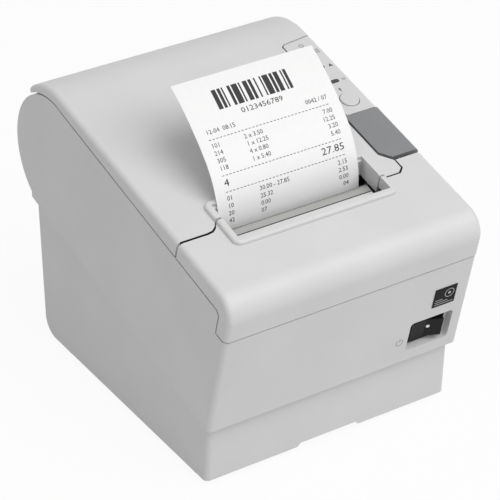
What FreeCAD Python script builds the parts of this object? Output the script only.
import FreeCAD, Part
import math
import os

# Receipt printer with a drop-in paper roll, all sizes in millimetres.
# World frame: X is the width, the front faces -Y, Z is up and the feet stand on z = 0.
# The upper housing is tilted: its pieces are drawn in a case frame (x, u, w), where u runs
# to the rear along the sloped top and w points out of it, and are then seated in the world.

# overall housing
TILT = 13.0            # slope of the top in degrees
CASE_Y = -100.7        # world place of the sharp front top corner
CASE_Z = 114.0
HALF_LOW = 72.5        # half width of the upper case at its lower edge
SIDE_DRAFT = 1.1       # each side leans in by this much up to the top
HALF_TOP = HALF_LOW - SIDE_DRAFT
CASE_DEEP = 81.3       # depth of the case front below the top plane
CREASE_REAR_U = 172.6  # rear end of the case's lower edge
CREASE_REAR_W = -73.8
WALL = 2.4             # wall of the upper housing
FRONT_U = 0.6          # front panel plane
COVER_U = 0.2          # front plane of the cutter cover
ROUND = 2.8            # rounded outer edges
FRONT_ROUND = 12.0     # big round at the top front
TOP_FLAT_END = 158.0   # where the lid starts to curve down
TIP_U = 185.5          # rear lip of the lid
TIP_W = -12.0
SEAM_GAP = 0.9         # visible gap between covers and case
SPLIT_GAP = 1.3        # wider gap between the two covers, left of the slot
SEAM_U = 10.2          # front end of the side seam
SEAM_W = -9.6
FRONT_SEAM_W = -22.3   # front seam height
SKIRT_U = 8.0          # depth of the cover's front skirt at the sides

# lid hinge and the round back of the case
HINGE_U = 159.3
HINGE_W = -39.9
BACK_R = 34.0          # outer radius of the round back, about the hinge
SEAM_ANGLE = 98.0      # where the side seam meets the round back
BACK_TOP_ANGLE = 50.0  # top edge of the back wall under the lid lip
KINK_ANGLE = -66.0     # lower end of the round back
PIN_R = 2.5            # hinge pin
PIN_FIT = 0.06         # running clearance of pins and shafts
ARM_HUB_R = 6.0
ARM_T = 3.0            # lid arm plate
ARM_AT = 48.0          # middle of the arms from the paper centre line
ARM_FOOT_U = 96.0      # where the arms meet the lid
ARM_FOOT_L = 14.0

# paper path
PAPER_X = -2.0         # centre line of the paper
PAPER_HALF = 39.75
PAPER_T = 0.3
PLATEN_R = 6.5
PLATEN_U = 63.5
PLATEN_W = -24.0
PLATEN_HALF = 40.5
NIP_GAP = 0.3
SHAFT_R = 3.0
ROLL_Y = 36.0
ROLL_Z = 86.5
ROLL_R = 37.0
CORE_R = 9.0
CORE_T = 1.6
ROLL_GAP = 0.4
BUCKET_T = 1.8
BUCKET_SIDE = 41.0     # inner half width of the roll compartment
RAMP_ANGLE = 32.9      # slope of the paper ramp in the world
BEND_R = 14.0          # bend of the web below the nip

# printed receipt: two tangent bends, from steep at its foot to nearly flat at its end
REC_U = 56.1
REC_W = -12.6
REC_START = 80.6
REC_MID = 35.0
REC_END = 18.3
REC_R1 = 45.6
REC_R2 = 136.0

# exit slot
SLOT_HALF = 42.6
SLOT_FRONT = 37.0
RIM_T = 3.3
RIM_H = 2.0
RIM_ROUND = 1.3
SPLIT_LEFT = 46.4      # split between cutter cover and roll cover, left of the slot
SPLIT_RIGHT = 45.4
SPLIT_RISE = 5.0       # the left split climbs towards the rim
SPLIT_RUN = 7.1
EAR_X = HALF_TOP - 16.0   # right end of the roll cover's ear
COVER_BACK = 54.6      # rear edge of the cutter cover in front of the lever

# cutter
CUT_W = -14.1          # middle of the blade plane
BLADE_T = 1.0
BLADE_HALF = 41.0
BLADE_EDGE_U = 51.6
BLADE_STROKE = 8.0
FRAME_HALF = 43.4
FRAME_TOP = -9.6
FRAME_LOW = -17.6
PLATE_T = 1.6
MODULE = 0.7
RACK_X = 20.0
CUT_TEETH = 12
CUT_U = 23.0
KNOB_R = 8.5
TEAR_H = 2.9           # tear bar over the cutter frame
TEAR_IN = 2.4          # set back from the frame's rear edge

# side frame, gears and motor
SIDE_AT = 46.0
SIDE_T = 1.5
PLATEN_TEETH = 24
IDLER_TEETH = 36
MOTOR_TEETH = 12
GEAR_X = 48.6          # inner face of the gears, left of the paper centre line
GEAR_T = 3.4
BACKLASH = 0.16
IDLER_DIR = -120.0     # direction from platen to idler
MOTOR_DIR = -154.0     # direction from idler to motor
MOTOR_R = 15.5
MOTOR_L = 25.0

# head
HEAD_T = 1.3
SINK_T = 5.0
HEAD_LOW = -33.0
HEAD_HIGH = -18.4
HEAD_HALF = 43.6
LEAF_T = 0.6           # leaf springs behind the heat sink
LEAF_WIDE = 9.0
LEAF_AT = 22.0

# lid lock
LOCK_U = 52.0
LOCK_W = -36.4
LOCK_R = 2.0
HOOK_IN = 44.3
HOOK_T = 1.4
CRANK_X = HALF_TOP - 12.9
CRANK_T = 3.0
CRANK_END = 30.0

# lever
LEVER_FRONT = 56.6
LEVER_BACK = 91.2
LEVER_WIDE = 20.2
LEVER_LEFT = HALF_TOP - LEVER_WIDE
LEVER_OUT = HALF_TOP
LEVER_T = 2.8
LEVER_SKIRT = -9.0
LEVER_PIN_U = 86.6
LEVER_PIN_W = -8.4
LEVER_PIN_R = 1.5
WELL_W = -14.6         # top of the case wall beside the lever

# control panel
PANEL_FRONT = 91.9
PANEL_WIDE = 18.4
PANEL_LEFT = HALF_TOP - PANEL_WIDE
PANEL_BACK = 151.4
BUTTON_X = HALF_TOP - 10.4
BUTTON_U = 101.6
BUTTON_R = 4.9
BUTTON_FIT = 0.35
BUTTON_PROUD = 0.7
BUTTON_STROKE = 0.8
LED_X = HALF_TOP - 9.7
LED_FIT = 0.05
BOARD_T = 1.6
PANEL_BOARD_W = -8.2

# power switch
SW_X = HALF_LOW - 20.1
SW_W = -65.4
RECESS_X = 25.2
RECESS_W = 18.4
RECESS_D = 4.0
SW_BODY_X = 20.0
SW_BODY_W = 14.0
SW_BODY_L = 15.0
ROCKER_X = 17.6
ROCKER_W = 11.2
ROCKER_TILT = 8.0
ROCKER_PIN_U = 7.2

# lower case, in the world
BASE_IN = 2.0          # the lower case is set in from the upper one
BASE_DRAFT = 0.8
BASE_HALF = HALF_LOW - BASE_IN
BASE_HALF_TOP = BASE_HALF - BASE_DRAFT
BASE_Z = 2.9
BASE_FRONT = -77.0
BASE_FRONT_TOP = -78.6
BASE_REAR = 83.3
BASE_REAR_LOW = 78.6
BASE_ROUND = 10.0
BASE_WALL = 2.6
BASE_FLOOR = 2.6
LIP_H = 4.0
LIP_FIT = 0.35
NOTCH_HALF = 16.0
NOTCH_H = 2.0
FOOT_R = 9.5
FOOT_X = BASE_HALF - 11.0
FOOT_FRONT = -64.8
FOOT_REAR = 56.0
SCREW_R = 1.5
SCREW_HEAD_R = 3.0
SCREW_HEAD_H = 1.6
POST_R = 4.2
POST_X = BASE_HALF - 12.5
POST_FRONT = -50.0
POST_REAR = 38.0
BOARD_Z = 11.0
BOARD_X = 50.0
BOARD_FRONT = -60.0
BOARD_REAR = 70.0
PLATE_X = 88.0
PLATE_Z0 = 9.5
PLATE_Z1 = 33.0

V = FreeCAD.Vector
os.makedirs("parts", exist_ok=True)
CA = math.cos(math.radians(TILT))
SA = math.sin(math.radians(TILT))


def world(u, w):
    """Case frame point to world (y, z)."""
    return (CASE_Y + u * CA - w * SA, CASE_Z + u * SA + w * CA)


def case(y, z):
    """World point to case frame (u, w)."""
    dy = y - CASE_Y
    dz = z - CASE_Z
    return (dy * CA + dz * SA, -dy * SA + dz * CA)


def seat(shape):
    """Turn a piece drawn in the case frame into the world."""
    out = shape.copy()
    out.rotate(V(0, 0, 0), V(1, 0, 0), TILT)
    out.translate(V(0, CASE_Y, CASE_Z))
    return out


def box(x0, x1, y0, y1, z0, z1):
    return Part.makeBox(x1 - x0, y1 - y0, z1 - z0, V(x0, y0, z0))


def rod_x(y, z, r, x0, x1):
    return Part.makeCylinder(r, x1 - x0, V(x0, y, z), V(1, 0, 0))


def rod_y(x, z, r, y0, y1):
    return Part.makeCylinder(r, y1 - y0, V(x, y0, z), V(0, 1, 0))


def rod_z(x, y, r, z0, z1):
    return Part.makeCylinder(r, z1 - z0, V(x, y, z0), V(0, 0, 1))


def wire(start, path, place):
    """Closed wire from points and arcs; an arc is a pair (middle, end)."""
    edges = []
    here = start
    for step in path + [start]:
        if isinstance(step[0], tuple):
            edges.append(Part.Arc(place(here), place(step[0]), place(step[1])).toShape())
            here = step[1]
        elif math.dist(here, step) > 1e-6:
            edges.append(Part.makeLine(place(here), place(step)))
            here = step
    return Part.Wire(edges)


def prism_x(start, path, x0, x1):
    face = Part.Face(wire(start, path, lambda p: V(x0, p[0], p[1])))
    return face.extrude(V(x1 - x0, 0, 0))


def prism_z(start, path, z0, z1):
    face = Part.Face(wire(start, path, lambda p: V(p[0], p[1], z0)))
    return face.extrude(V(0, 0, z1 - z0))


def ring_point(u, w, r, angle):
    a = math.radians(angle)
    return (u + r * math.cos(a), w + r * math.sin(a))


def hinge_point(r, angle):
    return ring_point(HINGE_U, HINGE_W, r, angle)


def draft(inset):
    """Block between the two slightly drafted side planes, moved in by an inset."""
    low = HALF_LOW - inset
    top = HALF_TOP - inset
    z0 = -CASE_DEEP
    k = (low - top) / CASE_DEEP
    far = 30.0
    pts = [(-low - k * far, z0 - far), (low + k * far, z0 - far)]
    pts = pts + [(top - k * far, far), (-top + k * far, far)]
    face = Part.Face(Part.makePolygon([V(p[0], -60, p[1]) for p in pts + pts[:1]]))
    return face.extrude(V(0, 320, 0))


def round_edges(shape, radius, wanted):
    edges = [e for e in shape.Edges if wanted(e)]
    return shape.makeFillet(radius, edges)


def gear(teeth, x0, x1, bore, phase):
    """Involute spur gear about X at the origin, one tooth at the phase angle."""
    r = MODULE * teeth / 2
    rb = r * math.cos(math.radians(20))
    root = r - 1.25 * MODULE
    tip = r + MODULE
    inv20 = math.tan(math.radians(20)) - math.radians(20)
    half = math.pi / (2 * teeth) - BACKLASH / (2 * r)
    low = max(rb, root)
    radii = [low + (tip - low) * k / 3.0 for k in range(4)]
    flank = []
    for q in radii:
        a = math.acos(min(1.0, rb / q))
        flank.append((q, half + inv20 - math.tan(a) + a))
    pts = []
    for n in range(teeth):
        mid = phase + 2 * math.pi * n / teeth
        pts.append((root, mid - flank[0][1]))
        pts = pts + [(q, mid - h) for q, h in flank]
        pts = pts + [(q, mid + h) for q, h in reversed(flank)]
        pts.append((root, mid + flank[0][1]))
    line = [V(x0, q * math.cos(t), q * math.sin(t)) for q, t in pts]
    clean = [p for n, p in enumerate(line) if p.distanceToPoint(line[n - 1]) > 1e-4]
    solid = Part.Face(Part.makePolygon(clean + clean[:1])).extrude(V(x1 - x0, 0, 0))
    if bore:
        solid = solid.cut(rod_x(0, 0, bore, x0 - 1, x1 + 1))
    return solid


def put(name, shape):
    """Write one named piece; a group of solids shares one file."""
    solids = shape.Solids
    if len(solids) == 1:
        solids[0].exportStep("parts/" + name + ".step")
    else:
        Part.Compound(solids).exportStep("parts/" + name + ".step")


def joined(shapes):
    return shapes[0].multiFuse(shapes[1:]).removeSplitter()


# where the back of the receipt leaves the slot
rec_turn = math.acos(math.cos(math.radians(REC_START)) - REC_W / REC_R1)
SLOT_REAR = REC_U + REC_R1 * (math.sin(math.radians(REC_START)) - math.sin(rec_turn))
SLOT_REAR = SLOT_REAR + PAPER_T / math.sin(rec_turn) + 0.06

# side profiles of the housing in the case frame
half_gap = SEAM_GAP / 2
lid_join = hinge_point(BACK_R + SEAM_GAP, SEAM_ANGLE)
case_join = hinge_point(BACK_R, SEAM_ANGLE)
drop = -TIP_W
run = TIP_U - TOP_FLAT_END
top_r = (run * run + drop * drop) / (2 * drop)
half_turn = math.asin(run / top_r) / 2
top_mid = (TOP_FLAT_END + top_r * math.sin(half_turn), top_r * (math.cos(half_turn) - 1))
tip_angle = math.degrees(math.atan2(TIP_W - HINGE_W, TIP_U - HINGE_U))
tip_in = hinge_point(BACK_R + SEAM_GAP, tip_angle)
tip_mid_r = (BACK_R + SEAM_GAP + math.hypot(TIP_U - HINGE_U, TIP_W - HINGE_W)) / 2
tip_mid = hinge_point(tip_mid_r, tip_angle - 1.6)
lid_back = hinge_point(BACK_R + SEAM_GAP, (tip_angle + SEAM_ANGLE) / 2)
c45 = FRONT_ROUND * (1 - math.sqrt(0.5))
front_arc = ((COVER_U + c45, -c45), (COVER_U + FRONT_ROUND, 0.0))
top_path = [(COVER_U, -FRONT_ROUND), front_arc, (TOP_FLAT_END, 0.0), (top_mid, (TIP_U, TIP_W))]
lid_path = top_path + [(tip_mid, tip_in), (lid_back, lid_join)]
lid_path = lid_path + [(SEAM_U, SEAM_W + half_gap), (SKIRT_U, SEAM_W + half_gap - 2.0)]
lid_path = lid_path + [(SKIRT_U, FRONT_SEAM_W + half_gap)]
covers = prism_x((COVER_U, FRONT_SEAM_W + half_gap), lid_path, -90, 90).common(draft(0))


def top_chain(edge):
    b = edge.BoundBox
    if b.XLength > 3 or abs(b.Center.x) < HALF_TOP - 3:
        return False
    mid = edge.valueAt((edge.FirstParameter + edge.LastParameter) / 2)
    on_front = mid.y < COVER_U + 0.05
    on_round = mid.y < COVER_U + FRONT_ROUND and mid.z > -c45 - 0.1
    on_top = mid.z > -0.05
    on_curve = mid.y > TOP_FLAT_END and abs(mid.z - top_mid[1]) < 0.3
    return on_front or on_round or on_top or on_curve


covers = round_edges(covers, ROUND, top_chain)

# upper case: a drafted shell open at the top and at its lower edge
back_mid = hinge_point(BACK_R, (SEAM_ANGLE + KINK_ANGLE) / 2)
kink = hinge_point(BACK_R, KINK_ANGLE)
ledge_u = SKIRT_U + SEAM_GAP
case_path = [(FRONT_U, FRONT_SEAM_W - half_gap), (ledge_u, FRONT_SEAM_W - half_gap)]
case_path = case_path + [(ledge_u, SEAM_W - half_gap - 2.0), (SEAM_U + SEAM_GAP, SEAM_W - half_gap)]
case_path = case_path + [case_join, (back_mid, kink), (CREASE_REAR_U, CREASE_REAR_W)]
shell = prism_x((FRONT_U, -CASE_DEEP), case_path, -90, 90).common(draft(0))


def front_corner(edge):
    b = edge.BoundBox
    return b.YMax < FRONT_U + 0.05 and abs(b.Center.x) > HALF_TOP - 1 and b.ZLength > 20


shell = round_edges(shell, ROUND, front_corner)
inner_r = BACK_R - WALL
wall_top = hinge_point(inner_r, BACK_TOP_ANGLE)
wall_out = hinge_point(BACK_R + 12, BACK_TOP_ANGLE)
inner_mid = hinge_point(inner_r, (BACK_TOP_ANGLE + KINK_ANGLE) / 2)
inner_kink = hinge_point(inner_r, KINK_ANGLE)
in_u = FRONT_U + WALL
in_path = [(in_u, FRONT_SEAM_W - half_gap - WALL), (ledge_u + WALL, FRONT_SEAM_W - half_gap - WALL)]
in_path = in_path + [(ledge_u + WALL, 20.0), (wall_out[0], 20.0), wall_out, wall_top]
in_path = in_path + [(inner_mid, inner_kink), (CREASE_REAR_U - WALL, CREASE_REAR_W + 1.0)]
in_path = in_path + [(CREASE_REAR_U - WALL, -CASE_DEEP - 20.0)]
hollow = prism_x((in_u, -CASE_DEEP - 20.0), in_path, -90, 90).common(draft(WALL))
upper = shell.cut(hollow)

# recess for the power switch
rx0 = SW_X - RECESS_X / 2
rx1 = SW_X + RECESS_X / 2
rw0 = SW_W - RECESS_W / 2
rw1 = SW_W + RECESS_W / 2
floor_u = FRONT_U + RECESS_D
pocket_back = floor_u + WALL
upper = upper.fuse(box(rx0 - WALL, rx1 + WALL, FRONT_U + WALL / 2, pocket_back, rw0 - WALL, rw1 + WALL))
recess = box(rx0, rx1, FRONT_U - 5, floor_u, rw0, rw1)
recess = round_edges(recess, 2.0, lambda e: e.BoundBox.YLength > 5)
upper = upper.cut(recess)
hole_x = SW_BODY_X / 2 + LED_FIT
hole_w = SW_BODY_W / 2 + LED_FIT
sw_w = SW_W - 0.6
upper = upper.cut(box(SW_X - hole_x, SW_X + hole_x, floor_u - 1, pocket_back + 1, sw_w - hole_w,
    sw_w + hole_w))

# lowered wall beside the lever, and shelves that carry the cutter cover
upper = upper.cut(box(HALF_TOP - 8, 90, LEVER_FRONT - 1.6, LEVER_BACK + 0.4, WELL_W, 20))
shelf_u = ledge_u + WALL / 2
for side in (-1, 1):
    x0 = side * (HALF_TOP - WALL / 2)
    x1 = side * (HALF_TOP - 8.0)
    shelf = box(min(x0, x1), max(x0, x1), shelf_u, 44.0, SEAM_W - half_gap - 2.0, SEAM_W - half_gap)
    upper = upper.fuse(shelf)

# screw columns of the case: front ones on ribs from the front wall, rear ones from the sides
base_top_z = BASE_Z + BASE_FLOOR
upper = seat(upper)
slope = math.tan(math.radians(TILT) + math.atan((CREASE_REAR_W + CASE_DEEP) / (CREASE_REAR_U - FRONT_U)))
crease_front = world(FRONT_U, -CASE_DEEP)


def crease_z(y):
    return crease_front[1] + slope * (y - crease_front[0])


for side in (-1, 1):
    for y in (POST_FRONT, POST_REAR):
        z1 = crease_z(y) + 22.0
        post = rod_z(side * POST_X, y, POST_R, base_top_z, z1)
        x0 = side * POST_X
        x1 = side * (HALF_LOW - WALL / 2)
        rib = box(min(x0, x1), max(x0, x1), y - 1.2, y + 1.2, crease_z(y) + LIP_H + 3, z1)
        upper = upper.fuse(post).fuse(rib)
        upper = upper.cut(rod_z(side * POST_X, y, SCREW_R, base_top_z - 1, base_top_z + 12))
upper = upper.removeSplitter()
put("upper_case", upper)

# lower case: a tub that closes the upper case from below
big = 200.0
r45 = BASE_ROUND * (1 - math.sqrt(0.5))
tub_path = [(BASE_FRONT_TOP, crease_z(BASE_FRONT_TOP) - 1.0), (BASE_REAR, crease_z(BASE_REAR) - 1.0)]
tub_path = tub_path + [(BASE_REAR_LOW, BASE_Z + BASE_ROUND)]
arc_mid = (BASE_REAR_LOW - r45, BASE_Z + r45)
tub_path = tub_path + [(arc_mid, (BASE_REAR_LOW - BASE_ROUND, BASE_Z))]
tub = prism_x((BASE_FRONT, BASE_Z), tub_path, -big, big)
k = (BASE_HALF - BASE_HALF_TOP) / 60.0
taper = [(-BASE_HALF, BASE_Z), (BASE_HALF, BASE_Z), (BASE_HALF - k * 110, BASE_Z + 110),
    (k * 110 - BASE_HALF, BASE_Z + 110)]
face = Part.Face(Part.makePolygon([V(p[0], -big, p[1]) for p in taper + taper[:1]]))
tub = tub.common(face.extrude(V(0, 2 * big, 0)))


def tub_corner(edge):
    b = edge.BoundBox
    return abs(b.Center.x) > BASE_HALF - 4 and b.YMax < BASE_FRONT + 0.1 and b.ZLength > 20


tub = round_edges(tub, ROUND, tub_corner)
lip_rear = world(CREASE_REAR_U - WALL, CREASE_REAR_W)[0] - LIP_FIT
lip_half = HALF_LOW - WALL - LIP_FIT
lip_front = BASE_FRONT_TOP + 0.8
lip_path = [(lip_front, crease_z(lip_front) + LIP_H), (lip_rear, crease_z(lip_rear) + LIP_H),
    (lip_rear, crease_z(lip_rear) - 3.0)]
lip_x = min(lip_half, BASE_HALF_TOP) - 0.7
lip = prism_x((lip_front, crease_z(lip_front) - 3.0), lip_path, -lip_x, lip_x)
tub = tub.fuse(lip)
cav_front = lip_front + BASE_WALL - 0.6
cav_rear = BASE_REAR_LOW - BASE_WALL - 0.15
cav_half = lip_x - BASE_WALL + 0.8
cavity = box(-cav_half, cav_half, cav_front, cav_rear, base_top_z, big)
cavity = round_edges(cavity, 2.0, lambda e: e.BoundBox.ZLength > 50)
tub = tub.cut(cavity)
notch_path = [(NOTCH_HALF + 3.0, BASE_Z - 1), (NOTCH_HALF, BASE_Z + NOTCH_H),
    (-NOTCH_HALF, BASE_Z + NOTCH_H)]
notch_face = Part.Face(wire((-NOTCH_HALF - 3.0, BASE_Z - 1), notch_path, lambda p: V(p[0], -big, p[1])))
tub = tub.cut(notch_face.extrude(V(0, big + BASE_FRONT + 2.0, 0)))
feet_at = [(s * FOOT_X, y) for s in (-1, 1) for y in (FOOT_FRONT, FOOT_REAR)]
for x, y in feet_at:
    tub = tub.cut(rod_z(x, y, FOOT_R + 0.05, BASE_Z - 1, BASE_Z + 1.0))
posts_at = [(s * POST_X, y) for s in (-1, 1) for y in (POST_FRONT, POST_REAR)]
for x, y in posts_at:
    tub = tub.cut(rod_z(x, y, SCREW_R + 0.1, BASE_Z - 1, big))
    tub = tub.cut(rod_z(x, y, SCREW_HEAD_R + 0.1, BASE_Z - 1, BASE_Z + SCREW_HEAD_H))
win_x = PLATE_X / 2 - 3.0
tub = tub.cut(box(-win_x, win_x, cav_rear - 2, big, PLATE_Z0 + 2.5, PLATE_Z1 - 2.5))
for x in (-1, 1):
    for y in (BOARD_FRONT + 6, BOARD_REAR - 6):
        tub = tub.fuse(rod_z(x * (BOARD_X - 6), y, 3.0, base_top_z - 0.5, BOARD_Z))
tub = tub.removeSplitter()
put("lower_case", tub)

feet = [rod_z(x, y, FOOT_R, 0, BASE_Z + 1.0) for x, y in feet_at]
feet = [f.makeChamfer(0.6, [e for e in f.Edges if e.BoundBox.ZMax < 0.1]) for f in feet]
put("rubber_feet", Part.Compound(feet))
screws = []
for x, y in posts_at:
    head = rod_z(x, y, SCREW_HEAD_R, BASE_Z + 0.2, BASE_Z + SCREW_HEAD_H)
    head = head.cut(box(x - 2.4, x + 2.4, y - 0.4, y + 0.4, BASE_Z, BASE_Z + 0.9))
    screws.append(head.fuse(rod_z(x, y, SCREW_R - 0.05, BASE_Z + 1.0, base_top_z + 11)).removeSplitter())
put("case_screws", Part.Compound(screws))

# connector plate, sockets and main board
plate_y0 = cav_rear - 1.2
plate = box(-PLATE_X / 2, PLATE_X / 2, plate_y0, cav_rear - 0.02, PLATE_Z0, PLATE_Z1)
board_top = BOARD_Z + BOARD_T
jack_x = [-26.0, 2.0, 28.0]
sock_y = cav_rear + 0.6
usb_out = box(jack_x[1] - 6.0, jack_x[1] + 6.0, plate_y0 - 15, sock_y, board_top, board_top + 11.0)
usb = usb_out.cut(box(jack_x[1] - 5.2, jack_x[1] + 5.2, plate_y0 - 8, big, board_top + 0.8,
    board_top + 10.2))
usb = usb.fuse(box(jack_x[1] - 2.8, jack_x[1] + 2.8, plate_y0 - 10, sock_y - 1.0, board_top + 4.0,
    board_top + 7.0))
rj_out = box(jack_x[0] - 7.6, jack_x[0] + 7.6, plate_y0 - 16, sock_y, board_top, board_top + 13.0)
rj = rj_out.cut(box(jack_x[0] - 4.9, jack_x[0] + 4.9, plate_y0 - 11, big, board_top + 2.2,
    board_top + 9.2))
rj = rj.cut(box(jack_x[0] - 1.9, jack_x[0] + 1.9, plate_y0 - 11, big, board_top + 9.0, board_top + 11.4))
dc_out = box(jack_x[2] - 8.0, jack_x[2] + 8.0, plate_y0 - 14, sock_y, board_top, board_top + 15.0)
dc_z = board_top + 7.8
dc = dc_out.cut(rod_y(jack_x[2], dc_z, 5.6, plate_y0 - 9, big))
pins = []
for angle in (30, 150, 270):
    a = math.radians(angle)
    pins.append(rod_y(jack_x[2] + 3.2 * math.cos(a), dc_z + 3.2 * math.sin(a), 0.6, plate_y0 - 9.0,
        plate_y0 - 1.0))
gap = 0.05
for s in (usb_out, rj_out, dc_out):
    b = s.BoundBox
    plate = plate.cut(box(b.XMin - gap, b.XMax + gap, plate_y0 - 1, big, b.ZMin - gap, b.ZMax + gap))
put("connector_plate", plate)
put("usb_socket", usb.removeSplitter())
put("drawer_jack", rj.removeSplitter())
put("power_inlet", dc)
put("inlet_pins", Part.Compound(pins))
legs_at = [(PAPER_X + s * 34.0, y) for s in (-1, 1) for y in (14.0, 54.0)]
board = box(-BOARD_X, BOARD_X, BOARD_FRONT, plate_y0 - 0.3, BOARD_Z, board_top)
for x, y in legs_at:
    board = board.cut(rod_z(x, y, POST_R + 1.0, 0, big))
put("main_board", board)
chips = [box(-20, 0, -30, -10, board_top, board_top + 2.2),
    box(10, 24, -26, -12, board_top, board_top + 1.8)]
chips = chips + [rod_z(36, -40, 5.0, board_top, board_top + 14),
    rod_z(36, -26, 5.0, board_top, board_top + 14)]
chips.append(box(-44, -30, -54, -34, board_top, board_top + 6.0))
put("board_chips", Part.Compound(chips))

# roll compartment: a trough that ends in the paper ramp
ramp = math.radians(RAMP_ANGLE)
turn = -90.0 - RAMP_ANGLE
inner_b = ROLL_R + ROLL_GAP + PAPER_T + 0.1
bottom_front = ring_point(ROLL_Y, ROLL_Z, inner_b, turn)
step = (-math.cos(ramp), math.sin(ramp))
off = (-math.sin(ramp), -math.cos(ramp))
web_u = PLATEN_U - PLATEN_R - NIP_GAP - PAPER_T
bend = math.radians(90.0 - RAMP_ANGLE - TILT)
web_r = ROLL_R + ROLL_GAP
web_start = ring_point(ROLL_Y, ROLL_Z, web_r + PAPER_T, turn)
ws = case(web_start[0], web_start[1])
ramp_case = math.radians(RAMP_ANGLE + TILT)
bend_du = (BEND_R + PAPER_T) * (1 - math.cos(bend))
web_len = (ws[0] - (web_u + bend_du)) / math.cos(ramp_case)
ramp_len = web_len - 1.0
ramp_end = (bottom_front[0] + step[0] * ramp_len, bottom_front[1] + step[1] * ramp_len)


def shifted(p, d):
    return (p[0] + off[0] * d, p[1] + off[1] * d)


rear_top = ring_point(ROLL_Y, ROLL_Z, inner_b, 12.0)
low_mid = ring_point(ROLL_Y, ROLL_Z, inner_b, (12.0 + turn) / 2)
rear_top2 = ring_point(ROLL_Y, ROLL_Z, inner_b + BUCKET_T, 12.0)
low_mid2 = ring_point(ROLL_Y, ROLL_Z, inner_b + BUCKET_T, (12.0 + turn) / 2)
front2 = shifted(bottom_front, BUCKET_T)
trough_path = [(low_mid, bottom_front), ramp_end, shifted(ramp_end, BUCKET_T), front2,
    (low_mid2, rear_top2)]
bx0 = PAPER_X - BUCKET_SIDE - BUCKET_T
bx1 = PAPER_X + BUCKET_SIDE + BUCKET_T
trough = prism_x(rear_top, trough_path, bx0, bx1)
ramp_top = (ramp_end[0] + 6.0, ramp_end[1] + 5.0)
cheek_top = (ROLL_Y - ROLL_R + 4.0, ROLL_Z + 12.0)
cheek_path = [(low_mid2, front2), shifted(ramp_end, BUCKET_T), ramp_top, cheek_top,
    (ROLL_Y + 16.0, ROLL_Z + 12.0)]
cheeks = []
for x0 in (bx0, bx1 - BUCKET_T):
    cheeks.append(prism_x(rear_top2, cheek_path, x0, x0 + BUCKET_T))
bucket = joined([trough] + cheeks)
for x, y in legs_at:
    bottom = ROLL_Z - math.sqrt((inner_b + BUCKET_T / 2) ** 2 - (y - ROLL_Y) ** 2)
    bucket = bucket.fuse(rod_z(x, y, POST_R, base_top_z, bottom + 0.4))
spacer = world(75.0, -46.0)
bucket = bucket.fuse(rod_x(spacer[0], spacer[1], 3.0, PAPER_X - SIDE_AT, bx0 + 0.5))
bucket = bucket.fuse(rod_x(spacer[0], spacer[1], 3.0, bx1 - 0.5, PAPER_X + SIDE_AT))
hinge_y, hinge_z = world(HINGE_U, HINGE_W)
arm_in = ARM_AT - ARM_T / 2
arm_out = ARM_AT + ARM_T / 2
boss_in = BUCKET_SIDE + BUCKET_T
pin_out = arm_out + 0.4
for side in (-1, 1):
    xs = sorted((PAPER_X + side * (boss_in - 0.5), PAPER_X + side * (arm_in - 0.5)))
    bucket = bucket.fuse(rod_x(hinge_y, hinge_z, PIN_R + 2.0, xs[0], xs[1]))
cheek_fill = []
for x0 in (bx0, bx1 - BUCKET_T):
    fill_path = [(hinge_y + 6, hinge_z + 5), (hinge_y + 6, ROLL_Z + 5), (hinge_y - 22, ROLL_Z + 5)]
    cheek_fill.append(prism_x((hinge_y - 12, hinge_z + 5), fill_path, x0, x0 + BUCKET_T))
bucket = joined([bucket] + cheek_fill)
pin_len = BUCKET_SIDE - 0.5
for side in (-1, 1):
    xs = sorted((PAPER_X + side * pin_len, PAPER_X + side * (pin_out + 2)))
    bucket = bucket.cut(rod_x(hinge_y, hinge_z, PIN_R, xs[0], xs[1]))
clear = rod_x(ROLL_Y, ROLL_Z, inner_b, bx0 + BUCKET_T, bx1 - BUCKET_T)
bucket = bucket.cut(clear)
over = [shifted(ramp_end, 0.0), shifted(ramp_end, -9.0), shifted(bottom_front, -9.0)]
bucket = bucket.cut(prism_x(bottom_front, over, bx0 + BUCKET_T, bx1 - BUCKET_T))
put("roll_bucket", bucket.removeSplitter())
hinge_pins = []
for side in (-1, 1):
    xs = sorted((PAPER_X + side * (BUCKET_SIDE + 0.2), PAPER_X + side * pin_out))
    body = rod_x(hinge_y, hinge_z, PIN_R, xs[0], xs[1])
    xs = sorted((PAPER_X + side * pin_out, PAPER_X + side * (pin_out + 1.2)))
    hinge_pins.append(body.fuse(rod_x(hinge_y, hinge_z, PIN_R + 1.5, xs[0], xs[1])).removeSplitter())
put("hinge_pins", Part.Compound(hinge_pins))
sensor = box(bx1, bx1 + 5, ROLL_Y - 6, ROLL_Y + 6, ROLL_Z - 26, ROLL_Z - 16)
put("paper_end_sensor", sensor)

# paper roll on its core
roll = rod_x(ROLL_Y, ROLL_Z, ROLL_R, PAPER_X - PAPER_HALF, PAPER_X + PAPER_HALF)
roll = roll.cut(rod_x(ROLL_Y, ROLL_Z, CORE_R, -big, big))
put("paper_roll", roll)
core = rod_x(ROLL_Y, ROLL_Z, CORE_R, PAPER_X - PAPER_HALF, PAPER_X + PAPER_HALF)
put("roll_core", core.cut(rod_x(ROLL_Y, ROLL_Z, CORE_R - CORE_T, -big, big)))

# paper web from the roll over the ramp to the blade
bend_end_w = ws[1] + web_len * math.sin(ramp_case) + (BEND_R + PAPER_T) * math.sin(bend)
bend_c = (web_u + BEND_R + PAPER_T, bend_end_w)
web_top = CUT_W - BLADE_T / 2 - 0.4


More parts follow.
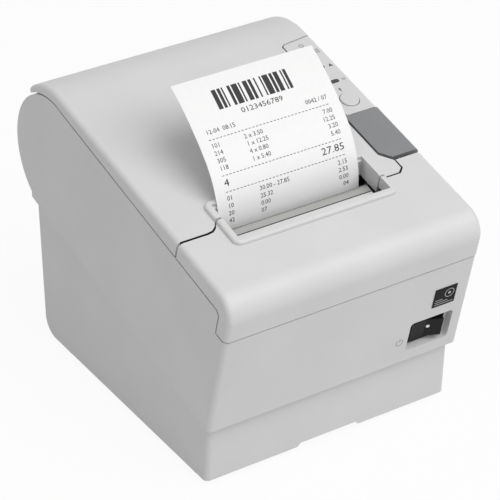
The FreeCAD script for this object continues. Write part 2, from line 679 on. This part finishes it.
def web_side(d):
    """Web line at a distance d from its outer face: ramp start, bend start, bend middle, bend end, top."""
    a = (ws[0] - math.sin(ramp_case) * -d, ws[1] + math.cos(ramp_case) * d)
    r = BEND_R + PAPER_T - d
    b0 = ring_point(bend_c[0], bend_c[1], r, 180 + math.degrees(bend))
    b1 = ring_point(bend_c[0], bend_c[1], r, 180 + math.degrees(bend) / 2)
    return a, b0, b1, (web_u + d, bend_c[1]), (web_u + d, web_top)


a0, b0, m0, e0, t0 = web_side(0.0)
a1, b1, m1, e1, t1 = web_side(PAPER_T)
web = prism_x(a0, [b0, (m0, e0), t0, t1, e1, (m1, b1), a1], PAPER_X - PAPER_HALF, PAPER_X + PAPER_HALF)
put("paper_web", seat(web))

# side frame plates with open slots for the platen shaft
slot_r = SHAFT_R + 1.2
sides = []
for side in (-1, 1):
    xs = sorted((PAPER_X + side * SIDE_AT, PAPER_X + side * (SIDE_AT + SIDE_T)))
    path = [(14.0, -14.2), (72.0, -14.2), (79.0, -40.0), (79.0, -52.0), (60.0, -66.0), (34.0, -66.0),
        (20.0, -50.0), (14.0, -40.0)]
    plate = prism_x(path[0], path[1:], xs[0], xs[1])
    cut = [(PLATEN_U - slot_r, PLATEN_W), (PLATEN_U - slot_r, 0.0), (PLATEN_U + slot_r + 6.0, 0.0),
        (PLATEN_U + slot_r, PLATEN_W)]
    plate = plate.cut(prism_x(cut[0], cut[1:], xs[0] - 1, xs[1] + 1))
    plate = plate.cut(rod_x(PLATEN_U, PLATEN_W, slot_r, xs[0] - 1, xs[1] + 1))
    plate = plate.cut(rod_x(LOCK_U, LOCK_W, LOCK_R + PIN_FIT, xs[0] - 1, xs[1] + 1))
    sides.append(plate)
idler_at = ring_point(PLATEN_U, PLATEN_W, MODULE * (PLATEN_TEETH + IDLER_TEETH) / 2, IDLER_DIR)
motor_at = ring_point(idler_at[0], idler_at[1], MODULE * (IDLER_TEETH + MOTOR_TEETH) / 2, MOTOR_DIR)
left_out = PAPER_X - SIDE_AT - SIDE_T
sides[0] = sides[0].cut(rod_x(motor_at[0], motor_at[1], MODULE * MOTOR_TEETH / 2 + 2.0, left_out - 1,
    left_out + 5))
stub_r = 2.5
sides[0] = sides[0].cut(rod_x(idler_at[0], idler_at[1], stub_r, left_out - 1, left_out + 5))
tie_u = 42.0
tie = box(PAPER_X - SIDE_AT, PAPER_X + SIDE_AT, tie_u, tie_u + SIDE_T, HEAD_LOW, HEAD_HIGH + 0.4)
put("side_plate_left", seat(sides[0]))
put("side_plate_right", seat(sides[1]))
put("cross_plate", seat(tie))
gx1 = PAPER_X - GEAR_X
gx0 = gx1 - GEAR_T
stub = rod_x(idler_at[0], idler_at[1], stub_r, gx0 - 1.0, PAPER_X - SIDE_AT)
stub = stub.fuse(rod_x(idler_at[0], idler_at[1], stub_r + 1.5, gx0 - 1.8, gx0 - 0.6)).removeSplitter()
put("idler_pin", seat(stub))


def placed(shape, at):
    out = shape.copy()
    out.translate(V(0, at[0], at[1]))
    return out


toward = math.radians(IDLER_DIR)
platen_gear = placed(gear(PLATEN_TEETH, gx0, gx1, SHAFT_R, toward), (PLATEN_U, PLATEN_W))
idler_phase = toward + math.pi + math.pi / IDLER_TEETH
idler = placed(gear(IDLER_TEETH, gx0, gx1, stub_r + PIN_FIT, idler_phase), idler_at)
toward2 = math.radians(MOTOR_DIR)
pitch = 2 * math.pi / IDLER_TEETH
lag = (toward2 - idler_phase) % pitch
pin_phase = toward2 + math.pi + lag * IDLER_TEETH / MOTOR_TEETH + math.pi / MOTOR_TEETH
motor_axle_r = 1.5
pinion = placed(gear(MOTOR_TEETH, gx0, gx1, motor_axle_r, pin_phase), motor_at)
put("platen_gear", seat(platen_gear))
put("idler_gear", seat(idler))
put("motor_pinion", seat(pinion))
motor_x0 = PAPER_X - SIDE_AT
motor = rod_x(motor_at[0], motor_at[1], MOTOR_R, motor_x0, motor_x0 + MOTOR_L)
motor = motor.cut(rod_x(motor_at[0], motor_at[1], motor_axle_r + PIN_FIT, motor_x0 - 1,
    motor_x0 + MOTOR_L + 1))
motor = motor.fuse(rod_x(motor_at[0], motor_at[1], 4.0, motor_x0 + MOTOR_L - 1, motor_x0 + MOTOR_L + 1.5))
put("feed_motor", seat(motor.removeSplitter()))
axle = rod_x(motor_at[0], motor_at[1], motor_axle_r, gx0, motor_x0 + MOTOR_L - 2)
put("motor_axle", seat(axle))

# platen on the roll cover
platen = rod_x(PLATEN_U, PLATEN_W, PLATEN_R, PAPER_X - PLATEN_HALF, PAPER_X + PLATEN_HALF)
put("platen_roller", seat(platen.cut(rod_x(PLATEN_U, PLATEN_W, SHAFT_R, -big, big))))
shaft_right = PAPER_X + SIDE_AT + SIDE_T + 1.0
put("platen_shaft", seat(rod_x(PLATEN_U, PLATEN_W, SHAFT_R, gx0, shaft_right)))
hold_in = PLATEN_HALF + 0.6
hold_t = 2.2
bush_r = SHAFT_R + 1.4
exit_low = (59.4, -13.0)
exit_high = (SLOT_REAR + 0.6, -1.0)
roof = -WALL
holder = []
for side in (-1, 1):
    xs = sorted((PAPER_X + side * hold_in, PAPER_X + side * (hold_in + hold_t)))
    path = [(72.0, roof), (76.0, roof), (76.0, -12.0), (PLATEN_U + 6.0, PLATEN_W - 4.0),
        (PLATEN_U, PLATEN_W - 6.4)]
    path = path + [(PLATEN_U - 4.6, PLATEN_W - 4.0), (PLATEN_U - 4.6, -16.0), (61.4, -13.0), (64.0, -8.8)]
    arm = prism_x(path[0], path[1:], xs[0], xs[1])
    arm = arm.cut(rod_x(PLATEN_U, PLATEN_W, bush_r, xs[0] - 1, xs[1] + 1))
    holder.append(arm)
guide_path = [exit_high, (76.0, exit_high[1]), (76.0, -10.0), (66.0, -13.0)]
guide = prism_x(exit_low, guide_path, PAPER_X - hold_in, PAPER_X + hold_in)
guide = guide.cut(box(-big, big, 0, 200, roof, 20))
put("platen_holder", seat(Part.Compound(holder)))
bushes = []
for side in (-1, 1):
    xs = sorted((PAPER_X + side * hold_in, PAPER_X + side * (hold_in + hold_t)))
    bush = rod_x(PLATEN_U, PLATEN_W, bush_r, xs[0], xs[1])
    bushes.append(bush.cut(rod_x(PLATEN_U, PLATEN_W, SHAFT_R + PIN_FIT, -big, big)))
put("platen_bushes", seat(Part.Compound(bushes)))
fixed_w = CUT_W + BLADE_T / 2 + 0.12
fixed = box(PAPER_X - hold_in, PAPER_X + hold_in, exit_low[0] - 1.6, 70.0, fixed_w, exit_low[1])
put("fixed_blade", seat(fixed))

# printed receipt, cut from the web, leaning on the rear edge of the slot


def rec_line(d):
    """Receipt line at a distance d behind its printed face: foot, middle, bend change, middle, end."""
    a0, a1, a2 = [math.radians(q) for q in (REC_START, REC_MID, REC_END)]
    foot = (REC_U + d * math.sin(a0), REC_W - d * math.cos(a0))
    out = [foot]
    for r, p, q in ((REC_R1 - d, a0, a1), (REC_R2 - d, a1, a2)):
        for t in ((p + q) / 2, q):
            u = foot[0] + r * (math.sin(p) - math.sin(t))
            w = foot[1] + r * (math.cos(t) - math.cos(p))
            out.append((u, w))
        foot = out[-1]
    return out


f = rec_line(0.0)
r = rec_line(PAPER_T)
rec_path = [(f[1], f[2]), (f[3], f[4]), r[4], (r[3], r[2]), (r[1], r[0])]
receipt = prism_x(f[0], rec_path, PAPER_X - PAPER_HALF, PAPER_X + PAPER_HALF)
put("receipt", seat(receipt))

# print head in front of the web, on its heat sink, pushed by two leaf springs
head_u1 = web_u - 0.05
head = box(PAPER_X - HEAD_HALF, PAPER_X + HEAD_HALF, head_u1 - HEAD_T, head_u1, HEAD_LOW + 1, HEAD_HIGH)
put("print_head", seat(head))
sink_u0 = head_u1 - HEAD_T - SINK_T
sink = box(PAPER_X - HEAD_HALF, PAPER_X + HEAD_HALF, sink_u0, head_u1 - HEAD_T, HEAD_LOW, HEAD_HIGH)
for n in range(6):
    w0 = HEAD_LOW + 1.6 + n * 2.2
    sink = sink.cut(box(-big, big, sink_u0 - 1, sink_u0 + 2.2, w0, w0 + 1.0))
put("head_sink", seat(sink))
leaf_u = tie_u + SIDE_T
leaf_low = HEAD_LOW + 1.0
leaf_mid = (HEAD_LOW + HEAD_HIGH) / 2
leaf_path = [(leaf_u + LEAF_T, leaf_low), (leaf_u + LEAF_T, leaf_low + 3.0), (sink_u0, leaf_mid - LEAF_T)]
leaf_path = leaf_path + [(sink_u0, leaf_mid + LEAF_T), (leaf_u, leaf_low + 3.0 + 2 * LEAF_T)]
leaves = []
for side in (-1, 1):
    at = PAPER_X + side * LEAF_AT
    leaves.append(prism_x((leaf_u, leaf_low), leaf_path, at - LEAF_WIDE / 2, at + LEAF_WIDE / 2))
put("head_springs", seat(Part.Compound(leaves)))

# cutter: frame, sliding blade with a rack, wheel with a thumb knob on the motor shaft
blade_low = CUT_W - BLADE_T / 2
blade_top = CUT_W + BLADE_T / 2
chan = 0.3
frame_u0 = 12.6
frame_u1 = 53.0
fx0 = PAPER_X - FRAME_HALF
fx1 = PAPER_X + FRAME_HALF
cutter = box(fx0, fx1, frame_u0, frame_u1, FRAME_LOW, FRAME_TOP)
cutter = cutter.cut(box(fx0 + PLATE_T, fx1 - PLATE_T, frame_u0 + PLATE_T, frame_u1 + 1,
    blade_top + chan, FRAME_TOP - PLATE_T))
cutter = cutter.cut(box(fx0 + 1.2, fx1 - 1.2, frame_u0 + PLATE_T, frame_u1 + 1, blade_low - chan,
    blade_top + chan + 0.01))
for side in (-1, 1):
    xs = sorted((PAPER_X + side * (FRAME_HALF - 0.5), PAPER_X + side * SIDE_AT))
    cutter = cutter.fuse(box(xs[0], xs[1], 16.0, 40.0, FRAME_LOW, FRAME_LOW + PLATE_T))
pin_r = MODULE * CUT_TEETH / 2
wheel_x = PAPER_X + RACK_X + pin_r
axle_r = 1.6
cutter = cutter.cut(rod_z(wheel_x, CUT_U, axle_r + PIN_FIT, FRAME_LOW - 1, FRAME_TOP + 1))
put("cutter_frame", seat(cutter.removeSplitter()))
bx = [PAPER_X - BLADE_HALF, PAPER_X + BLADE_HALF]
shoulder = CUT_U + pin_r + MODULE + 2.4
tail = frame_u0 + PLATE_T + 0.6
edge_mid = (PAPER_X, BLADE_EDGE_U - 2.2)
plan = [(bx[0], shoulder), (bx[0], BLADE_EDGE_U), edge_mid, (bx[1], BLADE_EDGE_U), (bx[1], shoulder)]
root_x = PAPER_X + RACK_X - 1.25 * MODULE
plan = plan + [(root_x, shoulder)]
pitch_l = math.pi * MODULE
tan20 = math.tan(math.radians(20))
count = int((shoulder - tail - 1.0) / pitch_l)
rack = []
half_t = pitch_l / 4 - BACKLASH / 2
for n in range(count, -1, -1):
    c = CUT_U + pitch_l * (n - 4) + pitch_l / 2
    if c + pitch_l / 2 < shoulder and c - pitch_l / 2 > tail:
        rack.append((root_x, c + half_t + 1.25 * MODULE * tan20))
        rack.append((PAPER_X + RACK_X + MODULE, c + half_t - MODULE * tan20))
        rack.append((PAPER_X + RACK_X + MODULE, c - half_t + MODULE * tan20))
        rack.append((root_x, c - half_t - 1.25 * MODULE * tan20))
plan = plan + rack + [(root_x, tail), (PAPER_X - 26.0, tail), (PAPER_X - 26.0, shoulder)]
blade = prism_z(plan[0], plan[1:], blade_low, blade_top)
put("moving_blade", seat(blade))
cut_pinion = gear(CUT_TEETH, blade_low - 0.1, blade_top + 0.2, 0, math.pi)
cut_pinion.rotate(V(0, 0, 0), V(0, 1, 0), -90)
phase_fix = cut_pinion.copy()
phase_fix.translate(V(wheel_x, CUT_U, 0))
wheel = phase_fix.fuse(rod_z(wheel_x, CUT_U, axle_r, FRAME_LOW - 2.0, FRAME_TOP + 1.0))
knob = rod_z(wheel_x, CUT_U, KNOB_R, FRAME_TOP + 0.4, FRAME_TOP + 3.4)
for n in range(18):
    a = 2 * math.pi * n / 18
    knob = knob.cut(rod_z(wheel_x + KNOB_R * math.cos(a), CUT_U + KNOB_R * math.sin(a), 0.7, -20, 5))
put("cutter_wheel", seat(wheel.fuse(knob).removeSplitter()))
cut_motor = rod_z(wheel_x, CUT_U, 8.0, FRAME_LOW - 22.0, FRAME_LOW)
cut_motor = cut_motor.cut(rod_z(wheel_x, CUT_U, axle_r + PIN_FIT, FRAME_LOW - 3.0, FRAME_LOW + 1))
put("cutter_motor", seat(cut_motor))
tear_top = FRAME_TOP + TEAR_H
tear_back = frame_u1 - TEAR_IN
tear_path = [(tear_back - 1.0, FRAME_TOP), (tear_back, tear_top - 0.8), (tear_back, tear_top)]
tear_path = tear_path + [(tear_back - 6.0, tear_top - 0.4), (tear_back - 8.2, FRAME_TOP + 1.4)]
tear = prism_x((tear_back - 9.6, FRAME_TOP), tear_path, PAPER_X - SLOT_HALF + 2.6, PAPER_X + SLOT_HALF - 2.6)
put("tear_bar", seat(tear))

# lock bar with two hooks over the platen shaft and a crank under the lever
bar = rod_x(LOCK_U, LOCK_W, LOCK_R, PAPER_X - SIDE_AT - SIDE_T, CRANK_X + CRANK_T)
nose = PLATEN_W + SHAFT_R + 0.5
hook_back = PLATEN_U - SHAFT_R - 1.0
hook_path = [(LOCK_U + 3.4, LOCK_W - 1.8), (hook_back, PLATEN_W - 1.0), (hook_back, nose),
    (PLATEN_U - SHAFT_R - NIP_GAP, nose)]
hook_path = hook_path + [(PLATEN_U - SHAFT_R - NIP_GAP, nose + 2.6), (hook_back - 3.4, nose + 2.6)]
locks = [bar]
for side in (-1, 1):
    xs = sorted((PAPER_X + side * HOOK_IN, PAPER_X + side * (HOOK_IN + HOOK_T)))
    locks.append(prism_x((LOCK_U - 3.0, LOCK_W + 1.0), hook_path, xs[0], xs[1]))
    locks.append(rod_x(LOCK_U, LOCK_W, LOCK_R + 1.6, xs[0], xs[1]))
crank_path = [(LOCK_U, LOCK_W - LOCK_R), (LOCK_U, LOCK_W + LOCK_R), (CRANK_END, LOCK_W + 1.6),
    (CRANK_END, LOCK_W - 1.4)]
locks.append(prism_x(crank_path[0], crank_path[1:], CRANK_X, CRANK_X + CRANK_T))
put("lock_bar", seat(joined(locks)))

# roll cover: the rear cover with its ears, rim halves, slot walls and hinge arms
under_end = lid_join[0] - 6.0
inside_top = [(COVER_U + WALL, -FRONT_ROUND)]
in45 = FRONT_ROUND - (FRONT_ROUND - WALL) * math.sqrt(0.5)
inside_top = inside_top + [((COVER_U + in45, -in45), (COVER_U + FRONT_ROUND, -WALL)),
    (under_end - 2.0, -WALL)]
inside_top = inside_top + [(under_end, -WALL - 0.4), (under_end, -60.0)]
under = prism_x((COVER_U + WALL, -60.0), inside_top, -90, 90).common(draft(WALL))
g = SEAM_GAP
wall_t = 1.6
ro = SLOT_HALF + RIM_T
left_rim = PAPER_X - ro
rim_split = SPLIT_LEFT + SPLIT_RISE


def climb(gap):
    """Left split from the rim outwards, where it comes down to its straight run."""
    first = (left_rim - 0.24 * SPLIT_RUN, rim_split - 0.54 * SPLIT_RISE + gap)
    second = (left_rim - 0.58 * SPLIT_RUN, SPLIT_LEFT + 0.1 * SPLIT_RISE + gap)
    return [(left_rim, rim_split + gap), first, second, (left_rim - SPLIT_RUN, SPLIT_LEFT + gap)]


lid_plan = climb(SPLIT_GAP)[::-1] + [(0.0, rim_split + SPLIT_GAP), (0.0, SPLIT_RIGHT + g)]
lid_plan = lid_plan + [ (EAR_X - 3.0, SPLIT_RIGHT + g), (EAR_X, SPLIT_RIGHT + 3.4)]
lid_plan = lid_plan + [(EAR_X, COVER_BACK), (LEVER_LEFT - 1.0, LEVER_FRONT + 4.4),
    (LEVER_LEFT - 1.0, PANEL_FRONT)]
lid_plan = lid_plan + [(PANEL_LEFT - g, PANEL_FRONT), (PANEL_LEFT - g, PANEL_BACK - 1.6),
    (PANEL_LEFT + 0.8, PANEL_BACK)]
lid_plan = lid_plan + [(90.0, PANEL_BACK + 4.4), (90.0, 230.0), (-90.0, 230.0)]
lid = covers.common(prism_z((-90.0, SPLIT_LEFT + SPLIT_GAP), lid_plan, -60, 20))
lid = lid.cut(under)
wall_w = SEAM_W + half_gap + 3.0
lid = lid.fuse(box(PANEL_LEFT - g - WALL, PANEL_LEFT - g, PANEL_FRONT + 1, PANEL_BACK - 4, wall_w,
    roof + 0.1))
lid = lid.fuse(box(LEVER_LEFT - 1.0 - WALL, LEVER_LEFT - 1.0, LEVER_FRONT + 6, PANEL_FRONT + 1, wall_w,
    roof + 0.1))
slot_cut = box(PAPER_X - SLOT_HALF, PAPER_X + SLOT_HALF, SLOT_FRONT, SLOT_REAR, -40, 20)
lid = lid.cut(slot_cut)
rim_turn = math.acos(math.cos(math.radians(REC_START)) + (RIM_H - REC_W) / REC_R1)
rim_back = REC_U + REC_R1 * (math.sin(math.radians(REC_START)) - math.sin(rim_turn))
rim_back = rim_back + PAPER_T / math.sin(rim_turn) + 0.1
rim_out = rim_back + RIM_T
starts = {-1: rim_split + SPLIT_GAP, 1: SPLIT_RIGHT + g}
back_plan = [(left_rim, rim_out), (PAPER_X + ro, rim_out), (PAPER_X + ro, starts[1])]
back_plan = back_plan + [(PAPER_X + SLOT_HALF, starts[1]), (PAPER_X + SLOT_HALF, rim_back)]
back_plan = back_plan + [(PAPER_X - SLOT_HALF, rim_back), (PAPER_X - SLOT_HALF, starts[-1])]
back_rim = prism_z((left_rim, starts[-1]), back_plan, -0.6, RIM_H)


def back_corner(edge):
    b = edge.BoundBox
    return b.ZLength > 2 and b.XLength < 0.1 and abs(b.Center.y - rim_out) < 0.1


back_rim = round_edges(back_rim, 4.0, back_corner)


def back_top(edge):
    b = edge.BoundBox
    high = b.Center.y > rim_back + 0.5
    side_run = abs(abs(b.Center.x - PAPER_X) - ro) < 0.1
    return b.ZMin > RIM_H - 0.1 and (high or side_run)


back_rim = round_edges(back_rim, RIM_ROUND, back_top)
lid = lid.fuse(back_rim).fuse(guide)
lean = (exit_high[0] - exit_low[0]) / (exit_high[1] - exit_low[1])
wall_low = -8.4
low_u = exit_low[0] + lean * (wall_low - exit_low[1])
high_u = exit_low[0] + lean * (roof + 0.1 - exit_low[1])
back_wall = [(high_u, roof + 0.1), (high_u + wall_t, roof + 0.1), (low_u + wall_t, wall_low)]
lid = lid.fuse(prism_x((low_u, wall_low), back_wall, PAPER_X - SLOT_HALF - 0.5,
    PAPER_X + SLOT_HALF + 0.5))
for side in (-1, 1):
    xs = sorted((PAPER_X + side * SLOT_HALF, PAPER_X + side * (SLOT_HALF + wall_t)))
    lid = lid.fuse(box(xs[0], xs[1], starts[side], SLOT_REAR + 0.6, wall_low, 0.0))
for side in (-1, 1):
    xs = sorted((PAPER_X + side * arm_in, PAPER_X + side * arm_out))
    path = [(ARM_FOOT_U + ARM_FOOT_L, roof + 0.2), (HINGE_U - 2.0, HINGE_W + ARM_HUB_R - 0.6)]
    path = path + [(HINGE_U - 3.0, HINGE_W - ARM_HUB_R + 0.6), (HINGE_U - 22.0, HINGE_W + 2.0)]
    arm = prism_x((ARM_FOOT_U, roof + 0.2), path, xs[0], xs[1])
    arm = arm.fuse(rod_x(HINGE_U, HINGE_W, ARM_HUB_R, xs[0], xs[1]))
    lid = lid.fuse(arm.cut(rod_x(HINGE_U, HINGE_W, PIN_R + PIN_FIT, xs[0] - 1, xs[1] + 1)))
put("roll_cover", seat(lid.removeSplitter()))

# cutter cover: the front cover, slides forward
cover_plan = [(90.0, -20.0), (90.0, COVER_BACK), (EAR_X + g, COVER_BACK), (EAR_X + g, SPLIT_RIGHT + 3.0)]
cover_plan = cover_plan + [(EAR_X - 2.4, SPLIT_RIGHT), (0.0, SPLIT_RIGHT), (0.0, rim_split)]
cover_plan = cover_plan + climb(0.0) + [(-90.0, SPLIT_LEFT)]
cover = covers.common(prism_z((-90.0, -20.0), cover_plan, -60, 20))
cover = cover.cut(under)
cover = cover.cut(slot_cut)
rim_plan = [(PAPER_X + ro, SPLIT_RIGHT), (PAPER_X + ro, SLOT_FRONT - RIM_T),
    (left_rim, SLOT_FRONT - RIM_T), (left_rim, rim_split)]
rim_plan = rim_plan + [(PAPER_X - SLOT_HALF, rim_split), (PAPER_X - SLOT_HALF, SLOT_FRONT),
    (PAPER_X + SLOT_HALF, SLOT_FRONT)]
rim_start = (PAPER_X + SLOT_HALF, SPLIT_RIGHT)
rim = prism_z(rim_start, rim_plan, -0.6, RIM_H)


def rim_corner(edge):
    b = edge.BoundBox
    return b.ZLength > 2 and b.XLength < 0.1 and abs(b.Center.y - SLOT_FRONT + RIM_T) < 0.1


rim = round_edges(rim, 4.0, rim_corner)


def rim_top(edge):
    b = edge.BoundBox
    low = b.Center.y < SLOT_FRONT - 0.5
    side_run = abs(abs(b.Center.x - PAPER_X) - ro) < 0.1
    return b.ZMin > RIM_H - 0.1 and (low or side_run)


rim = round_edges(rim, RIM_ROUND, rim_top)
cover = cover.fuse(rim)
lip_w = -4.4
cover = cover.fuse(box(PAPER_X - SLOT_HALF - wall_t, PAPER_X - SLOT_HALF, SLOT_FRONT - wall_t,
    rim_split, lip_w, 0))
cover = cover.fuse(box(PAPER_X + SLOT_HALF, PAPER_X + SLOT_HALF + wall_t, SLOT_FRONT - wall_t,
    SPLIT_RIGHT, lip_w, 0))
cover = cover.fuse(box(PAPER_X - SLOT_HALF - wall_t, PAPER_X + SLOT_HALF + wall_t, SLOT_FRONT - wall_t,
    SLOT_FRONT, lip_w, 0))
rib_low = SEAM_W - half_gap + 0.4
for side in (-1, 1):
    xs = sorted((side * (HALF_TOP - 6.5), side * (HALF_TOP - 5.0)))
    cover = cover.fuse(box(xs[0], xs[1], 14.0, 42.0, rib_low, roof + 0.1))
put("cutter_cover", seat(cover.removeSplitter()))

# cover open lever on its pin, with a finger over the crank
lev_plan = [(LEVER_LEFT, LEVER_FRONT + 5.4), (LEVER_LEFT + 4.6, LEVER_FRONT), (LEVER_OUT, LEVER_FRONT),
    (LEVER_OUT, LEVER_BACK)]
lever = prism_z((LEVER_LEFT, LEVER_BACK), lev_plan, LEVER_SKIRT, 0.4)


def lever_edge(edge):
    b = edge.BoundBox
    return b.ZMin > 0.3 and b.XMin > LEVER_OUT - 0.1


lever = round_edges(lever, ROUND - 0.6, lever_edge)
lever = lever.cut(box(LEVER_LEFT + 2.0, LEVER_OUT - 2.2, LEVER_FRONT + 2.0, LEVER_BACK - 1.6, -40,
    0.4 - LEVER_T))
finger_x = (CRANK_X, CRANK_X + CRANK_T)
tip_w = LOCK_W + 1.6 + 0.7
fing = [(66.0, -2.0), (66.0, -6.0), (CRANK_END + 5.0, tip_w + 3.0), (CRANK_END + 3.6, tip_w),
    (CRANK_END + 0.6, tip_w)]
fing = fing + [(CRANK_END + 0.6, tip_w + 4.0), (60.0, -2.0)]
finger = prism_x(fing[0], fing[1:], finger_x[0], finger_x[1])
lever = lever.cut(box(finger_x[0] - 0.8, finger_x[1] + 0.8, 0, LEVER_FRONT + 2.0, -40, -1.6))
lever = lever.fuse(finger)
hub = []
for x0 in (LEVER_LEFT + 6.8, LEVER_LEFT + 11.8):
    lug = rod_x(LEVER_PIN_U, LEVER_PIN_W, 3.2, x0, x0 + 2.4)
    lug = lug.fuse(box(x0, x0 + 2.4, LEVER_PIN_U - 3.2, LEVER_PIN_U + 3.2, LEVER_PIN_W, -2.0))
    hub.append(lug)
lever = joined([lever] + hub)
lever = lever.cut(rod_x(LEVER_PIN_U, LEVER_PIN_W, LEVER_PIN_R + PIN_FIT, 0, 100))
put("open_lever", seat(lever.removeSplitter()))
bracket_x1 = HALF_TOP - WALL + 0.02
bracket = box(LEVER_LEFT + 2.8, bracket_x1, LEVER_FRONT + 6, LEVER_BACK, WELL_W - 1.6, WELL_W)
for x0 in (LEVER_LEFT + 3.8, LEVER_LEFT + 15.0):
    ear = prism_x((LEVER_PIN_U - 4, WELL_W - 0.5), [(LEVER_PIN_U + 2.4, WELL_W - 0.5),
        (LEVER_PIN_U + 2.2, LEVER_PIN_W + 2.8), (LEVER_PIN_U - 2.6, LEVER_PIN_W + 2.8)], x0, x0 + 2.0)
    bracket = bracket.fuse(ear)
well_x = HALF_TOP - WALL - 1.6
bracket = bracket.fuse(box(well_x - 1.2, well_x + 0.4, LEVER_FRONT + 6, LEVER_BACK, WELL_W - 0.5, -12.6))
bracket = bracket.cut(rod_x(LEVER_PIN_U, LEVER_PIN_W, LEVER_PIN_R, 0, 100))
put("lever_bracket", seat(bracket.removeSplitter()))
put("lever_pin", seat(rod_x(LEVER_PIN_U, LEVER_PIN_W, LEVER_PIN_R, LEVER_LEFT + 3.4, LEVER_LEFT + 17.2)))

# control panel strip with lights, button and its board
panel_plan = [(90.0, PANEL_FRONT), (90.0, PANEL_BACK + 3.6), (PANEL_LEFT + 1.0, PANEL_BACK - 0.6),
    (PANEL_LEFT, PANEL_BACK - 1.8)]
panel = covers.common(prism_z((PANEL_LEFT, PANEL_FRONT), panel_plan, -60, 20)).cut(under)
pw = [PANEL_LEFT, PANEL_LEFT + 1.6]
panel = panel.fuse(box(pw[0], pw[1], PANEL_FRONT, PANEL_BACK - 2.0, PANEL_BOARD_W, roof + 0.1))
panel = panel.fuse(box(pw[0], HALF_TOP - WALL, PANEL_FRONT, PANEL_FRONT + 1.6, PANEL_BOARD_W, roof + 0.1))
panel = panel.cut(rod_z(BUTTON_X, BUTTON_U, BUTTON_R + BUTTON_FIT, -20, 10))
led_at = [(LED_X + 0.8, 128.4, 1.2, 0.0), (LED_X, 116.5, 1.2, 1.7), (LED_X + 0.4, 140.6, 1.2, 0.0)]
lenses = []
for x, u, r, h in led_at:
    for fit, out in ((LED_FIT, 0), (0.0, 1)):
        parts = [rod_z(x, u, r + fit, PANEL_BOARD_W, 0.15)]
        if h:
            parts = [rod_z(x - h, u, r + fit, PANEL_BOARD_W, 0.15),
                rod_z(x + h, u, r + fit, PANEL_BOARD_W, 0.15)]
            parts.append(box(x - h, x + h, u - r - fit, u + r + fit, PANEL_BOARD_W, 0.15))
        lens = parts[0] if len(parts) == 1 else joined(parts)
        if out:
            lenses.append(lens)
        else:
            panel = panel.cut(lens)
put("control_panel", seat(panel.removeSplitter()))
put("indicator_lenses", seat(Part.Compound(lenses)))
pb = box(pw[0], HALF_TOP - WALL - 0.4, PANEL_FRONT, PANEL_BACK - 3.0, PANEL_BOARD_W - BOARD_T,
    PANEL_BOARD_W)
put("panel_board", seat(pb))
stem_w = -4.6
button = rod_z(BUTTON_X, BUTTON_U, BUTTON_R, -2.9, BUTTON_PROUD)
button = button.makeFillet(0.6, [e for e in button.Edges if e.BoundBox.ZMin > BUTTON_PROUD - 0.1])
button = button.fuse(rod_z(BUTTON_X, BUTTON_U, 1.8, stem_w, -2.0)).removeSplitter()
put("feed_button", seat(button))
tact = box(BUTTON_X - 3, BUTTON_X + 3, BUTTON_U - 3, BUTTON_U + 3, PANEL_BOARD_W,
    stem_w - BUTTON_STROKE - 0.12)
put("feed_switch", seat(tact))

# power switch in the front recess
sw0 = floor_u - 1.0
body = box(SW_X - SW_BODY_X / 2, SW_X + SW_BODY_X / 2, sw0, floor_u + SW_BODY_L, sw_w - SW_BODY_W / 2,
    sw_w + SW_BODY_W / 2)
rock_x = ROCKER_X / 2 + 0.9
rock_w = ROCKER_W / 2 + 0.35
body = body.cut(box(SW_X - rock_x, SW_X + rock_x, sw0 - 1, floor_u + 9.0, sw_w - rock_w, sw_w + rock_w))
pin_u = ROCKER_PIN_U
sw_pin_r = 1.2
body = body.cut(rod_z(SW_X, pin_u, sw_pin_r + PIN_FIT, sw_w - rock_w - 0.8, sw_w + rock_w + 0.8))
put("switch_body", seat(body))
hx = ROCKER_X / 2
rock = [(SW_X - hx, pin_u - 5.4), (SW_X, pin_u - 3.8), (SW_X + hx, pin_u - 5.4),
    (SW_X + hx, pin_u - 2.0), (SW_X + 3, pin_u + 3.2), (SW_X - 3, pin_u + 3.2), (SW_X - hx, pin_u - 2.0)]
rocker = prism_z(rock[0], rock[1:], sw_w - ROCKER_W / 2, sw_w + ROCKER_W / 2)
rocker = rocker.fuse(rod_z(SW_X, pin_u, sw_pin_r, sw_w - rock_w - 0.6,
    sw_w + rock_w + 0.6)).removeSplitter()
rocker.rotate(V(SW_X, pin_u, 0), V(0, 0, 1), -ROCKER_TILT)
put("power_rocker", seat(rocker))
label = box(SW_X - 2.1, SW_X + 11.0, FRONT_U - 0.3, FRONT_U, -49.6, -37.8)
put("front_plate", seat(label))
